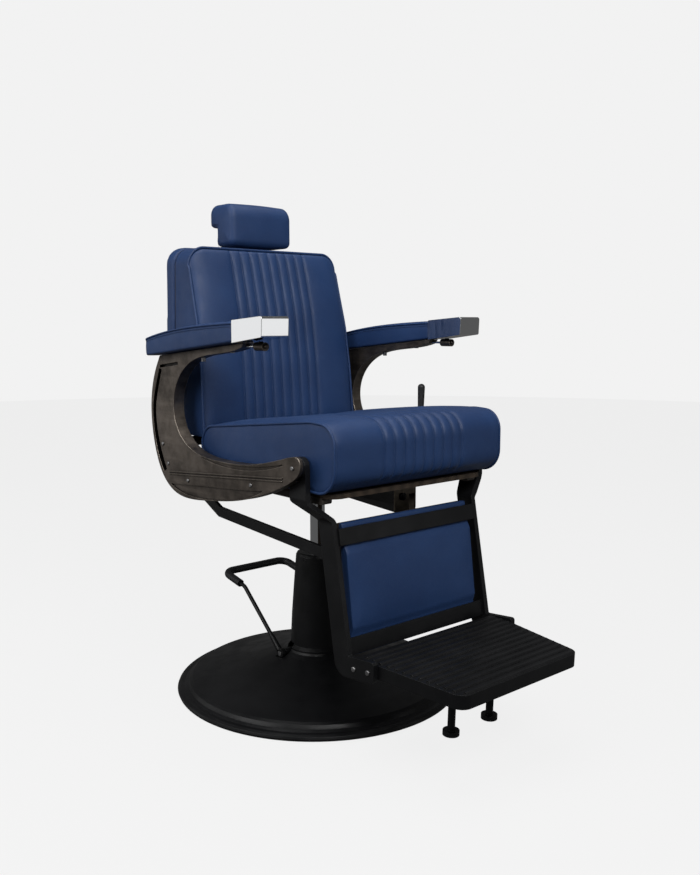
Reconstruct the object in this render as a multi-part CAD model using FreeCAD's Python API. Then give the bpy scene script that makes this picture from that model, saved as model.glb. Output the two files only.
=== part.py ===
import FreeCAD, Part
import math
import os

# Hydraulic barber chair, millimetres. The sitter faces -Y, +X is the sitter's left, +Z is up.
# The origin is the centre of the base disc, on the floor. "right" parts are on the -X side.

V = FreeCAD.Vector

# ---- driving dimensions ----
BASE_R = 345.0            # base disc radius
PLATE_T = 8.0             # steel bottom plate thickness
COLUMN_TOP = 332.0        # top of the column cover
COLUMN_WALL = 3.0
RAM_R = 18.0              # hydraulic ram radius
FIT = 0.05                # radial running clearance of pins, bushes and the ram
RAM_TOP = 519.0           # top of the ram, where the seat turns

SEAT_HALF = 250.0         # seat cushion half width
COVER_T = 3.0             # leather and backing over the foam cores
ARM_IN = 264.0            # inner face of the arm castings
ARM_OUT = 292.0           # outer face of the arm castings
NOSE_T = 8.0              # casting thickness where the footrest hinge nests in it
PAD_IN = 257.0            # arm pad inner face
PAD_OUT = 320.0           # arm pad outer face
RAIL_IN = 205.0
RAIL_OUT = 230.0
RAIL_FRONT = -302.0       # front end of the seat rails, clear of the swinging footrest bars
CROSS_Z = (507.0, 521.0)  # crossbars under the seat rails
RAIL_Z = (521.0, 535.0)   # seat rails, bottom and top
FRONT_CROSS = (-50.0, -32.0)      # the crossbars' widths, along Y
REAR_CROSS = (28.0, 46.0)
BOARD_T = 10.0            # plywood under the seat cushion

FOOT_PIVOT = (-271.0, 599.0)      # y, z of the footrest hinge
BACK_PIVOT = (234.0, 667.0)       # y, z of the recline hinge
LINK_ARM = (-24.0, -189.0)        # from either hinge to its link pin: a true parallelogram
LINK_BEND = (125.0, 437.0)        # y, z where the link bar turns up to the back
LINK_X = (193.0, 202.0)           # link bar inner and outer face
PIN_R = 6.0                       # link pins
HINGE_R = 8.0                     # footrest and recline hinge pins
BAR_T = 12.0                      # footrest side bar thickness
BAR_LOW_OUT = 216.0               # footrest side bar outer face below the jog
BAR_TOP_OUT = 266.0               # and above it
CRANK_X = (254.0, 260.0)          # recline crank inner and outer face
LEG_X = (203.5, 209.5)            # inboard leg from the tube to the rear link pin
BACK_TUBE = (226.0, 600.0)        # y, z of the tube that joins the cranks

BACK_FRONT = 257.0                # front face of the backrest board
BACK_BOARD_T = 12.0
BACK_REAR = 306.0                 # rear face of the upholstered back
BACK_Z = (615.0, 1070.0)          # bottom and top of the upholstered back
TRACK_Y = 285.0                   # floor of the pocket that holds the headrest track
TRACK_HALF = 84.0                 # half width of the track

YOKE_ARM = 190.0                  # recline hinge to the lock's crank pin
YOKE_SWING = 15.0                 # crank pin angle behind straight down, at rest
LOCK_X = 85.0                     # recline lock, distance left of centre
LOCK_Z = 487.0                    # height of the lock's axis
LEVER = (-92.0, 499.0)            # y, z of the recline lever's shaft
LEVER_X = 256.0                   # recline lever, between the seat's side and the arm
PUMP_AXLE = (25.0, 87.0)          # y, z of the pump lever's axle

PLATE_REAR = -382.0               # footplate rear edge
PLATE_FRONT = -642.0
PLATE_TOP = 220.0                 # footplate top at its rear edge
PLATE_SLOPE = 2.2                 # degrees, falling towards the front
TIP_FOOT = (59.0, -510.0)         # x, y of the feet under the footplate
FOOT_BOLTS = ((-382.0, 197.0), (-424.0, 202.0))
LEVER_TOP = (264.4, -90.4, 735.0)  # end of the recline grip, leaning outwards
# y, z of the button screws on the casting's outer face and of the bolts under its top
SCREWS = ((225.0, 600.0), (202.0, 555.0), (114.0, 525.0), (-140.0, 548.0), (-284.0, 601.0))
UNDER_BOLTS = ((59.0, 804.0), (-58.0, 826.0))

os.makedirs("parts", exist_ok=True)


# ---- helpers ----
def export(name, *shapes):
    whole = shapes[0] if len(shapes) == 1 else Part.makeCompound(list(shapes))
    whole.exportStep("parts/" + name + ".step")


def both_sides(name, *shapes):
    """The shapes are built on the left (+X) and mirrored for the right."""
    export("left_" + name, *shapes)
    export("right_" + name, *[s.mirror(V(0, 0, 0), V(1, 0, 0)) for s in shapes])


def box(x0, x1, y0, y1, z0, z1):
    return Part.makeBox(x1 - x0, y1 - y0, z1 - z0, V(x0, y0, z0))


def rod_x(x0, x1, y, z, r):
    return Part.makeCylinder(r, x1 - x0, V(x0, y, z), V(1, 0, 0))


def rod_y(y0, y1, x, z, r):
    return Part.makeCylinder(r, y1 - y0, V(x, y0, z), V(0, 1, 0))


def rod_z(z0, z1, x, y, r):
    return Part.makeCylinder(r, z1 - z0, V(x, y, z0), V(0, 0, 1))


def fuse(*shapes):
    whole = shapes[0].multiFuse(list(shapes[1:]))
    return whole.removeSplitter()


def rounded(points, place):
    """Closed wire through (a, b, radius) corners; place(a, b) gives the 3-D point."""
    n = len(points)
    starts = []
    ends = []
    middles = []
    for i in range(n):
        a, b, r = points[i]
        before = points[i - 1]
        after = points[(i + 1) % n]
        here = FreeCAD.Vector(a, b, 0)
        back = FreeCAD.Vector(before[0] - a, before[1] - b, 0).normalize()
        ahead = FreeCAD.Vector(after[0] - a, after[1] - b, 0).normalize()
        half = back.getAngle(ahead) / 2
        cut = r / math.tan(half)
        bisector = (back + ahead).normalize()
        starts.append(here + back * cut)
        ends.append(here + ahead * cut)
        middles.append(here + bisector * (r / math.sin(half) - r))
    edges = []
    for i in range(n):
        if points[i][2] > 0:
            three = [place(p.x, p.y) for p in (starts[i], middles[i], ends[i])]
            edges.append(Part.Arc(*three).toShape())
        nxt = starts[(i + 1) % n]
        if (nxt - ends[i]).Length > 0.01:
            edges.append(Part.LineSegment(place(ends[i].x, ends[i].y), place(nxt.x, nxt.y)).toShape())
    return Part.Wire(edges)


def slab_x(points, x0, x1):
    """Rounded outline in Y and Z, extruded along X."""
    face = Part.Face(rounded(points, lambda a, b: V(x0, a, b)))
    return face.extrude(V(x1 - x0, 0, 0))


def shrunk_x(points, x0, x1, inset):
    """The same slab, smaller by inset on every side."""
    face = Part.Face(rounded(points, lambda a, b: V(x0 + inset, a, b)))
    return face.makeOffset2D(-inset).extrude(V(x1 - x0 - 2 * inset, 0, 0))


def slab_y(points, y0, y1):
    """Rounded outline in X and Z, extruded along Y."""
    face = Part.Face(rounded(points, lambda a, b: V(a, y0, b)))
    return face.extrude(V(0, y1 - y0, 0))


def slab_z(points, z0, z1):
    """Rounded outline in X and Y, extruded along Z."""
    face = Part.Face(rounded(points, lambda a, b: V(a, b, z0)))
    return face.extrude(V(0, 0, z1 - z0))


def spline(points, x):
    curve = Part.BSplineCurve()
    curve.interpolate([V(x, a, b) for a, b in points])
    return curve.toShape()


def line(start, end, x):
    return Part.LineSegment(V(x, start[0], start[1]), V(x, end[0], end[1])).toShape()


def turned(profile):
    """Solid of revolution about Z from (radius, z) corners."""
    points = [V(r, 0, z) for r, z in profile]
    face = Part.Face(Part.makePolygon(points + points[:1]))
    return face.revolve(V(0, 0, 0), V(0, 0, 1), 360)


def bent_tube(points, r, bend):
    """Round bar along straight runs joined by tangent arcs."""
    edges = []
    at = V(*points[0])
    for before, corner, after in zip(points, points[1:], points[2:]):
        a, b, c = V(*before), V(*corner), V(*after)
        back = (a - b).normalize()
        ahead = (c - b).normalize()
        half = back.getAngle(ahead) / 2
        start = b + back * (bend / math.tan(half))
        end = b + ahead * (bend / math.tan(half))
        middle = b + (back + ahead).normalize() * (bend / math.sin(half) - bend)
        edges.append(Part.LineSegment(at, start).toShape())
        edges.append(Part.Arc(start, middle, end).toShape())
        at = end
    edges.append(Part.LineSegment(at, V(*points[-1])).toShape())
    path = Part.Wire(edges)
    heading = (V(*points[1]) - V(*points[0])).normalize()
    ring = Part.Wire(Part.makeCircle(r, V(*points[0]), heading))
    return path.makePipeShell([ring], True, False)


def button_x(x, y, z, out, r, h):
    """Domed button head on a face at x."""
    disc = Part.makeCylinder(r, h, V(x, y, z), V(out, 0, 0))
    rim = [e for e in disc.Edges if abs(e.BoundBox.Center.x - (x + out * h)) < 0.01]
    return disc.makeFillet(h * 0.6, rim[:1])


def capsule(start, end, r, x0, x1):
    """Flat bar with round ends, from start to end in Y and Z."""
    run = V(0, end[0] - start[0], end[1] - start[1])
    side = V(0, -run.z, run.y).normalize() * r
    a = V(x0, start[0], start[1])
    b = V(x0, end[0], end[1])
    tip = run.normalize() * r
    edges = [Part.LineSegment(a + side, b + side).toShape()]
    edges.append(Part.Arc(b + side, b + tip, b - side).toShape())
    edges.append(Part.LineSegment(b - side, a - side).toShape())
    edges.append(Part.Arc(a - side, a - tip, a + side).toShape())
    return Part.Face(Part.Wire(edges)).extrude(V(x1 - x0, 0, 0))


# ---- base ----
def base():
    rim_in = BASE_R - 12
    outer = [(BASE_R - 8, 0), (BASE_R - 2, 2), (BASE_R, 7), (BASE_R - 2, 12), (BASE_R - 8, 15)]
    step = [(BASE_R - 17, 15), (BASE_R - 24, 19), (BASE_R - 29, 27), (BASE_R - 36, 31)]
    cone = [(240, 45), (180, 59), (120, 75), (90, 84), (78, 91), (75, 96)]
    inner = [(71, 96), (74, 88), (90, 80), (120, 71), (180, 55), (240, 41), (305, 27), (rim_in - 14, 21)]
    dome = turned(outer + step + cone + inner + [(rim_in - 4, PLATE_T + 0.5), (rim_in, PLATE_T), (rim_in, 0)])
    plate = Part.makeCylinder(rim_in - 0.2, PLATE_T)
    cover_out = [(74, 96), (74, 100), (67.5, 106), (64, 180), (58.5, 255), (53, COLUMN_TOP - 7)]
    cover_top = [(50, COLUMN_TOP - 1.5), (46, COLUMN_TOP), (30, COLUMN_TOP), (30, COLUMN_TOP - COLUMN_WALL)]
    cover_in = [(46, COLUMN_TOP - 4), (50, COLUMN_TOP - 8), (55.5, 255), (61, 180), (64.5, 106)]
    cover = turned(cover_out + cover_top + cover_in + [(65, 100), (70, 100), (70, 96)])
    y, z = PUMP_AXLE
    slot = box(-104, 104, y - 13.5, y + 13.5, z - 13.5, z + 22)
    dome = dome.cut(slot)
    cover = cover.cut(slot)
    export("base_dome", dome)
    export("base_plate", plate)
    export("column_cover", cover)

    body = rod_z(PLATE_T, 310, 0, 0, 40)
    foot = rod_z(PLATE_T, PLATE_T + 14, 0, 0, 62)
    gland = rod_z(310, COLUMN_TOP + 3, 0, 0, 26)
    bore = rod_z(PLATE_T + 20, COLUMN_TOP + 5, 0, 0, RAM_R + FIT)
    chamber = rod_z(PLATE_T + 20, 290, 0, 0, 28)
    export("pump_cylinder", fuse(body, foot, gland).cut(bore).cut(chamber))

    ring = rod_z(z - 14, z + 14, 0, 0, 50)
    carrier = fuse(ring, rod_x(-86, 86, y, z, 9.5)).cut(rod_x(-100, 100, y, z, 6 + FIT))
    export("pump_axle_carrier", carrier.cut(rod_z(z - 20, z + 20, 0, 0, 40)))

    studs = []
    for k in range(4):
        angle = math.radians(45 + 90 * k)
        studs.append(rod_z(PLATE_T + 14, PLATE_T + 22, 52 * math.cos(angle), 52 * math.sin(angle), 6))
    export("pump_bolts", *studs)

    screws = []
    for side in (-1, 1):
        angle = math.radians(-90 + side * 75)
        c = math.cos(angle)
        s = math.sin(angle)
        screws.append(Part.makeCylinder(4, 3, V(50.3 * c, 50.3 * s, COLUMN_TOP - 14), V(c, s, 0)))
    cover_body = turned(cover_out + [(46, COLUMN_TOP), (0, COLUMN_TOP), (0, 96)])
    export("column_screws", *[s.cut(cover_body) for s in screws])


def pump_lever():
    y, z = PUMP_AXLE
    stubs = [rod_x(*sorted((s * 46, s * 101)), y, z, 6) for s in (-1, 1)]
    export("pump_axle", *stubs)
    half = 97
    hub = 12
    bend = (176.0, 222.0)
    end = (268.0, 240.0)
    arms = []
    for s in (-1, 1):
        collar = rod_x(min(s * 90, s * 100), max(s * 90, s * 100), y, z, hub)
        arms.append(collar.cut(rod_x(-110, 110, y, z, 6)))
    start = 9.0 / math.hypot(bend[0] - y, bend[1] - z)
    foot = (y + (bend[0] - y) * start, z + (bend[1] - z) * start)
    route = [(-95, *foot), (-half, *bend), (-half, *end), (half, *end), (half, *bend), (95, *foot)]
    rod = bent_tube(route, 5.0, 26.0)
    sockets = []
    for s in (-1, 1):
        reach = V(0, bend[0] - y, bend[1] - z)
        base_at = V(s * 95, y, z) + reach * start
        socket = Part.makeCone(7.5, 6.2, 42, base_at, reach)
        sockets.append(socket)
    lever = fuse(rod, *arms, *sockets)
    grip_path = [(-half, bend[0] + 18, bend[1] + 3.5), (-half, *end), (half, *end)]
    grip_path.append((half, bend[0] + 18, bend[1] + 3.5))
    grip = bent_tube(grip_path, 9.5, 26.0)
    export("pump_lever_rod", lever)
    export("pump_grip", grip.cut(rod))


# ---- lift ----
def lift():
    ram = rod_z(60, RAM_TOP, 0, 0, RAM_R)
    piston = rod_z(60, 84, 0, 0, 27.9)
    export("lift_ram", fuse(ram, piston))


# ---- seat ----
def seat_frame():
    z0, z1 = RAIL_Z
    outline = [(RAIL_FRONT, z0, 6), (RAIL_FRONT, z1, 6), (60, z1, 2), (60, z0, 2)]
    both_sides("seat_rail", slab_x(outline, RAIL_IN, RAIL_OUT))
    bars = [box(-ARM_IN, ARM_IN, *span, *CROSS_Z) for span in (FRONT_CROSS, REAR_CROSS)]
    export("seat_crossbars", *bars)
    crossing = box(-ARM_IN, ARM_IN, *FRONT_CROSS, *CROSS_Z)
    plate = box(-60, 60, FRONT_CROSS[0], REAR_CROSS[1], *RAIL_Z)
    hub = rod_z(490, z0, 0, 0, 26)
    socket = rod_z(480, RAM_TOP + 0.5, 0, 0, RAM_R + FIT)
    cheeks = [box(LOCK_X + x - 1.5, LOCK_X + x + 1.5, -204, FRONT_CROSS[1], 470, z0) for x in (-21, 21)]
    lug = box(50, LOCK_X + 22.5, FRONT_CROSS[0], REAR_CROSS[1], CROSS_Z[1], z1)
    export("swivel_saddle", fuse(plate, lug, hub, *cheeks).cut(socket).cut(crossing))
    corners = [(-230, -330, 30), (230, -330, 30), (230, 60, 15), (-230, 60, 15)]
    export("seat_board", slab_z(corners, z1, z1 + BOARD_T))
    floor = z1 + BOARD_T
    side = [(126, 580, 36), (126, 650, 50), (-285, 694, 150), (-364, 690, 48), (-364, floor, 54)]
    side += [(50, floor, 60)]
    wide = SEAT_HALF
    lower_edge = [(-wide, floor, 22), (-wide, 740, 0), (wide, 740, 0), (wide, floor, 22)]
    wide -= COVER_T
    low = floor + COVER_T
    foam_edge = [(-wide, low, 19), (-wide, 740, 0), (wide, 740, 0), (wide, low, 19)]
    foam = shrunk_x(side, -SEAT_HALF, SEAT_HALF, COVER_T).common(slab_y(foam_edge, -370, 130))
    cushion = slab_x(side, -SEAT_HALF, SEAT_HALF).common(slab_y(lower_edge, -370, 130))
    export("seat_cushion", cushion.cut(foam))
    export("seat_foam", foam)


def arm_line(y):
    """Height of the arm's top face, where the pad sits."""
    return 833.7 - 0.102 * y


def casting_face(x):
    outer = [(245, 789), (264, 752), (277, 696), (273, 627), (255, 568), (225, 522), (180, 493), (119, 483)]
    outer += [(27, 490), (-98, 509), (-208, 542), (-280, 573), (-307, 598), (-308, 615), (-292, 625)]
    inner = [(-269, 621), (-208, 605), (-120, 589), (-24, 585), (65, 591), (119, 610), (158, 645)]
    inner += [(172, 686), (166, 729), (144, 764), (104, 794), (17, 817), (-112, 836)]
    edges = [spline(outer, x), line(outer[-1], inner[0], x), spline(inner, x)]
    tip = (-119, arm_line(-119))
    heel = (231, arm_line(231))
    edges.append(line(inner[-1], tip, x))
    edges.append(line(tip, heel, x))
    edges.append(line(heel, outer[0], x))
    return Part.Face(Part.Wire(edges))


def relief(lower, upper, x, depth):
    """Solid between two curves that share their ends, sunk into the face at x."""
    edges = [spline(lower, x - depth), spline(upper, x - depth)]
    if (V(x, *lower[-1]) - V(x, *upper[0])).Length > 0.01:
        edges.insert(1, line(lower[-1], upper[0], x - depth))
    if (V(x, *upper[-1]) - V(x, *lower[0])).Length > 0.01:
        edges.append(line(upper[-1], lower[0], x - depth))
    return Part.Face(Part.Wire(edges)).extrude(V(depth + 5, 0, 0))


def arm_casting():
    casting = casting_face(ARM_IN).extrude(V(ARM_OUT - ARM_IN, 0, 0))
    flute_out = [(235, 781), (256, 732), (269, 686), (265, 631), (249, 575), (222, 533)]
    flute_in = [(209, 540), (233, 584), (250, 635), (254, 686), (242, 730), (223, 777)]
    lens_low = [(190, 506), (136, 493), (51, 491), (-28, 498), (-104, 512), (-180, 539)]
    lens_high = [(-180, 541), (-65, 529), (37, 521), (129, 513), (190, 508)]
    smile_low = [(53, 585), (-14, 577), (-80, 575), (-157, 581), (-251, 602)]
    smile_high = [(-251, 605), (-167, 590), (-81, 583), (-14, 583), (53, 588)]
    casting = casting.cut(relief(flute_out, flute_in, ARM_OUT, 12))
    casting = casting.cut(relief(lens_low, lens_high, ARM_OUT, 3))
    casting = casting.cut(relief(smile_low, smile_high, ARM_OUT, 2))
    slot = [(231, 781, 2), (231, 788, 2), (147, 798, 2), (147, 791, 2)]
    casting = casting.cut(slab_x(slot, ARM_OUT - 8, ARM_OUT + 5))
    ledges = []
    for rise in (0, 6):
        strip = [(198, 529 + rise, 1), (198, 532 + rise, 1), (-251, 572 + rise, 1), (-251, 569 + rise, 1)]
        ledges.append(slab_x(strip, ARM_OUT - 1, ARM_OUT + 2))
    back_hub = rod_x(CRANK_X[1] + 0.3, ARM_IN + 1, *BACK_PIVOT, 18)
    casting = fuse(casting, back_hub, *ledges)
    y, z = FOOT_PIVOT
    span = (ARM_IN - 1, ARM_OUT - NOSE_T)
    nest = fuse(rod_x(*span, y, z, 26), box(*span, y - 60, y, z - 26, z + 60))
    sweep = box(ARM_IN - 1, BAR_TOP_OUT + 0.8, y - 70, y + 60, z - 90, z + 60)
    casting = casting.cut(nest).cut(sweep).cut(rod_x(ARM_IN - 20, ARM_OUT - 4, *FOOT_PIVOT, HINGE_R))
    return casting.cut(rod_x(ARM_IN - 20, ARM_OUT - 12, *BACK_PIVOT, HINGE_R))


def arms():
    casting = arm_casting()
    both_sides("arm_casting", casting)
    pins = []
    for s in (-1, 1):
        for depth, pivot in ((4, FOOT_PIVOT), (12, BACK_PIVOT)):
            ends = sorted((s * (CRANK_X[0] - 1), s * (ARM_OUT - depth)))
            pins.append(rod_x(*ends, *pivot, HINGE_R))
    export("hinge_pins", *pins)

    pad_side = [(262, arm_line(262), 10), (264, 846, 16), (140, 872, 300), (-120, 889, 0)]
    pad_side += [(-120, arm_line(-120), 0)]
    pad = slab_x(pad_side, PAD_IN, PAD_OUT)
    plan = slab_z([(PAD_IN, 264, 28), (PAD_OUT, 264, 28), (PAD_OUT, -120, 0), (PAD_IN, -120, 0)], 780, 920)
    both_sides("arm_pad", pad.common(plan))
    cap = [(-120.2, arm_line(-120.2), 0), (-120.2, 893, 3), (-228, 901, 6), (-226, arm_line(-226) + 2, 4)]
    hollow = shrunk_x(cap, PAD_IN - 2, PAD_OUT + 2, 3.5)
    both_sides("arm_cap", slab_x(cap, PAD_IN - 2, PAD_OUT + 2).cut(hollow))

    middle = (ARM_IN + ARM_OUT) / 2
    knob_y = -163.0
    stem_z = arm_line(-118) - 7
    stem = rod_y(knob_y + 16, -110, middle, stem_z, 2.6).cut(casting)
    post = rod_z(stem_z, arm_line(knob_y) - 1, middle, knob_y, 5)
    grip = rod_y(knob_y - 16, knob_y + 16, middle, stem_z, 9)
    ball = Part.makeSphere(5, V(middle, knob_y - 18, stem_z + 1))
    knob = fuse(grip, ball, post)
    export("arm_knob_stems", stem, stem.mirror(V(0, 0, 0), V(1, 0, 0)))
    export("arm_knobs", knob, knob.mirror(V(0, 0, 0), V(1, 0, 0)))

    heads = [button_x(ARM_OUT, y, z, 1, 4.5, 2.5) for y, z in SCREWS]
    heads += [rod_z(z - 3, z + 6, middle, y, 5).cut(casting) for y, z in UNDER_BOLTS]
    heads += [h.mirror(V(0, 0, 0), V(1, 0, 0)) for h in heads]
    export("arm_screws", *heads)


# ---- recline lock and its lever ----
def recline_lock():
    z = LOCK_Z
    front = box(LOCK_X - 22.5, LOCK_X + 22.5, -208, -204, 452, 512)
    ear_x = LOCK_X + 41
    ear = slab_x([(-207, 448, 10), (-207, 505, 2), (-172, 505, 2), (-172, 448, 10)], ear_x, ear_x + 5)
    tab = box(LOCK_X + 20, ear_x + 2, -208, -204, 490, 505)
    bracket = fuse(front, ear, tab).cut(rod_y(-215, -200, LOCK_X, z, 5.5))
    export("lock_bracket", bracket)
    barrel = rod_y(-185, 82, LOCK_X, z, 14)
    stud = rod_y(-216, -185, LOCK_X, z, 5.4)
    nut = rod_y(-213, -208.1, LOCK_X, z, 9)
    hollow = rod_y(-170, 90, LOCK_X, z, 5 + FIT)
    export("lock_cylinder", fuse(barrel, stud, nut).cut(hollow))

    angle = math.radians(YOKE_SWING)
    pin_y = BACK_PIVOT[0] + YOKE_ARM * math.sin(angle)
    pin_z = BACK_PIVOT[1] - YOKE_ARM * math.cos(angle)
    half = (LOCK_X - 6, LOCK_X + 6)
    low, high = z - 26, z + 18
    eye = [(pin_y - 14, low, 10), (pin_y - 14, high, 10), (pin_y + 14, high, 10), (pin_y + 14, low, 10)]
    gap = PIN_R + 0.9
    slot = [(pin_y - gap, low + 8, 6), (pin_y - gap, high - 8, 6)]
    slot += [(pin_y + gap, high - 8, 6), (pin_y + gap, low + 8, 6)]
    yoke = slab_x(eye, *half).cut(slab_x(slot, half[0] - 1, half[1] + 1))
    export("lock_rod", fuse(yoke, rod_y(pin_y - 255, pin_y - 12, LOCK_X, z, 5)))

    arm_x = (LOCK_X + 10, LOCK_X + 18)
    arm = capsule(BACK_TUBE, (pin_y, pin_z), 12, *arm_x)
    arm = arm.cut(rod_x(arm_x[0] - 1, arm_x[1] + 1, *BACK_TUBE, 12))
    pin = rod_x(LOCK_X - 10, arm_x[0] + 1, pin_y, pin_z, PIN_R)
    export("lock_crank", fuse(arm, pin))


def recline_lever():
    y, z = LEVER
    hanger = box(RAIL_IN + 2, RAIL_OUT - 2, y - 15, y + 15, z - 12, RAIL_Z[0])
    export("lever_bracket", hanger.cut(rod_x(RAIL_IN, RAIL_OUT, y, z, PIN_R + FIT)))
    shaft = rod_x(110, LEVER_X + 3, y, z, PIN_R)
    cam = capsule((y, z), (y - 14, z - 28), 9, 110, 116)
    reach = V(*LEVER_TOP) - V(LEVER_X, y, z)
    rod = Part.makeCylinder(4, reach.Length - 60, V(LEVER_X, y, z), reach)
    hub = rod_x(LEVER_X - 4.5, LEVER_X + 4.5, y, z, 10)
    lever = fuse(shaft, cam, rod, hub)
    along = reach * (1 / reach.Length)
    grip_foot = V(LEVER_X, y, z) + along * (reach.Length - 112)
    grip = Part.makeCone(6.5, 9, 104, grip_foot, along)
    crown = Part.makeSphere(9, grip_foot + along * 103)
    grip = fuse(grip, crown).cut(Part.makeCylinder(4, 60, grip_foot - along * 8, along))
    export("recline_lever", lever)
    export("recline_grip", grip)


# ---- backrest ----
def back_plan(inset, y0, y1):
    """Front outline of the upholstered back, narrowing to the top."""
    low = BACK_Z[0] + inset
    high = BACK_Z[1] - inset
    wide = 236 - inset
    narrow = 228 - inset
    return slab_y([(-wide, low, 14), (-narrow, high, 45), (narrow, high, 45), (wide, low, 14)], y0, y1)


def backrest():
    low, high = BACK_Z
    front = [(131, low, 8), (144, 790, 400), (160, 914, 400), (199, high, 18), (BACK_FRONT, high, 3)]
    front += [(BACK_FRONT, low, 3)]
    cushion = slab_x(front, -240, 240).common(back_plan(0, 100, BACK_FRONT))
    foam = shrunk_x(front, -245, 245, COVER_T).common(back_plan(COVER_T, 100, BACK_FRONT))
    export("back_cushion", cushion.cut(foam))
    export("back_foam", foam)
    board_back = BACK_FRONT + BACK_BOARD_T
    export("back_board", back_plan(6, BACK_FRONT, board_back))

    strap_z = (742, 780)
    strap = box(-CRANK_X[0], CRANK_X[0], board_back, board_back + 6, *strap_z)
    tube = rod_x(-CRANK_X[0], CRANK_X[0], *BACK_TUBE, 12)
    legs = []
    y, z = BACK_TUBE
    for x in (-46, 46):
        leg = [(board_back, 745, 0), (board_back + 6, 745, 0), (board_back + 6, z - 6, 10), (y, z - 6, 0)]
        leg += [(y, z, 0), (board_back, z, 4)]
        legs.append(slab_x(leg, x - 13, x + 13))
    export("back_frame", fuse(strap, tube, *legs))

    panel = back_plan(0, board_back, BACK_REAR)
    pocket = box(-241, 241, board_back - 1, board_back + 6.5, strap_z[0] - 0.5, strap_z[1] + 0.5)
    channels = [box(x - 13.5, x + 13.5, board_back - 1, board_back + 6.5, low - 1, 745) for x in (-46, 46)]
    track_pocket = box(-TRACK_HALF - 2, TRACK_HALF + 2, TRACK_Y, BACK_REAR + 1, 896, high + 1)
    export("back_rear_panel", panel.cut(pocket).cut(channels[0]).cut(channels[1]).cut(track_pocket))

    pin_at = (BACK_PIVOT[0] + LINK_ARM[0], BACK_PIVOT[1] + LINK_ARM[1])
    lower = capsule(BACK_PIVOT, BACK_TUBE, 15, *CRANK_X)
    upper = capsule(BACK_PIVOT, (board_back - 10, 761), 19, *CRANK_X)
    hub = rod_x(*CRANK_X, *BACK_PIVOT, 21)
    bore = rod_x(CRANK_X[0] - 1, CRANK_X[1] + 1, *BACK_PIVOT, HINGE_R + FIT)
    inboard = capsule(BACK_TUBE, pin_at, 10, *LEG_X).cut(rod_x(LEG_X[0] - 1, LEG_X[1] + 1, *BACK_TUBE, 12))
    both_sides("back_crank", fuse(lower, upper, hub).cut(bore), inboard)
    export("rear_link_pins", *[link_pin(s, pin_at, LEG_X[0]) for s in (-1, 1)])

    plate_y = TRACK_Y + 7
    track = box(-TRACK_HALF, TRACK_HALF, TRACK_Y, TRACK_Y + 18, 900, 1045)
    groove = box(-75.3, 75.3, plate_y - 0.2, plate_y + 4.2, 890, 1050)
    window = box(-52, 52, plate_y + 2, TRACK_Y + 20, 925, 1020)
    export("headrest_track", track.cut(groove).cut(window))


def headrest():
    face = TRACK_Y + 7
    plate = slab_y([(-75, 930, 8), (-75, 1121, 3), (75, 1121, 3), (75, 930, 8)], face, face + 4)
    flanges = [box(x - 1.5, x + 1.5, face, face + 13, 1050, 1121) for x in (-73.5, 73.5)]
    export("headrest_plate", fuse(plate, *flanges))
    low, top = 1074, 1184
    side = [(214, low, 14), (214, top, 36), (321, top, 26), (321, 1122, 12), (face - 0.2, 1122, 2)]
    side += [(face - 0.2, low, 6)]
    half = 94
    plan = slab_y([(-half, low, 14), (-half, top, 26), (half, top, 26), (half, low, 14)], 200, 330)
    export("headrest_cushion", slab_x(side, -half, half).common(plan))
    screws = []
    for x in (-45, 45):
        for z in (1072, 1100):
            screws.append(rod_y(face + 4, face + 6.5, x, z, 5))
    export("headrest_screws", *screws)


# ---- footrest ----
def link_pin(side, at, anchor_x):
    """Shouldered pin from the part at anchor_x in through the link bar."""
    ends = sorted((side * (LINK_X[0] - 4), side * anchor_x))
    head = sorted((side * (LINK_X[0] - 5), side * (LINK_X[0] - 0.4)))
    return fuse(rod_x(*ends, *at, PIN_R), rod_x(*head, *at, 10))


def links():
    front = (FOOT_PIVOT[0] + LINK_ARM[0], FOOT_PIVOT[1] + LINK_ARM[1])
    rear = (BACK_PIVOT[0] + LINK_ARM[0], BACK_PIVOT[1] + LINK_ARM[1])
    bar = fuse(capsule(front, LINK_BEND, 12, *LINK_X), capsule(LINK_BEND, rear, 12, *LINK_X))
    bar = bar.cut(rod_x(LINK_X[0] - 1, LINK_X[1] + 1, *front, PIN_R + FIT))
    bar = bar.cut(rod_x(LINK_X[0] - 1, LINK_X[1] + 1, *rear, PIN_R + 1.2))
    both_sides("link_bar", bar)
    inner = BAR_LOW_OUT - BAR_T
    export("front_link_pins", *[link_pin(s, front, inner) for s in (-1, 1)])


def footrest_bar():
    side = [(-292, 620, 20), (-250, 620, 20), (-238, 529, 8), (-270, 488, 40), (-327, 171, 32)]
    side += [(-441, 181, 14), (-441, 226, 6), (-365, 219, 3), (-315, 488, 60), (-294, 525, 12)]
    t = BAR_T
    low = BAR_LOW_OUT
    top = BAR_TOP_OUT
    front = [(top, 640, 0), (top, 526, 18), (low, 484, 8), (low, 150, 0), (low - t, 150, 0)]
    front += [(low - t, 489, 18), (top - t, 531, 8), (top - t, 640, 0)]
    bar = slab_x(side, 190, 290).common(slab_y(front, -460, -240))
    boss = rod_x(top - t, ARM_OUT - NOSE_T - 0.4, *FOOT_PIVOT, 21)
    return fuse(bar, boss).cut(rod_x(top - 30, ARM_OUT, *FOOT_PIVOT, HINGE_R + FIT))


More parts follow.
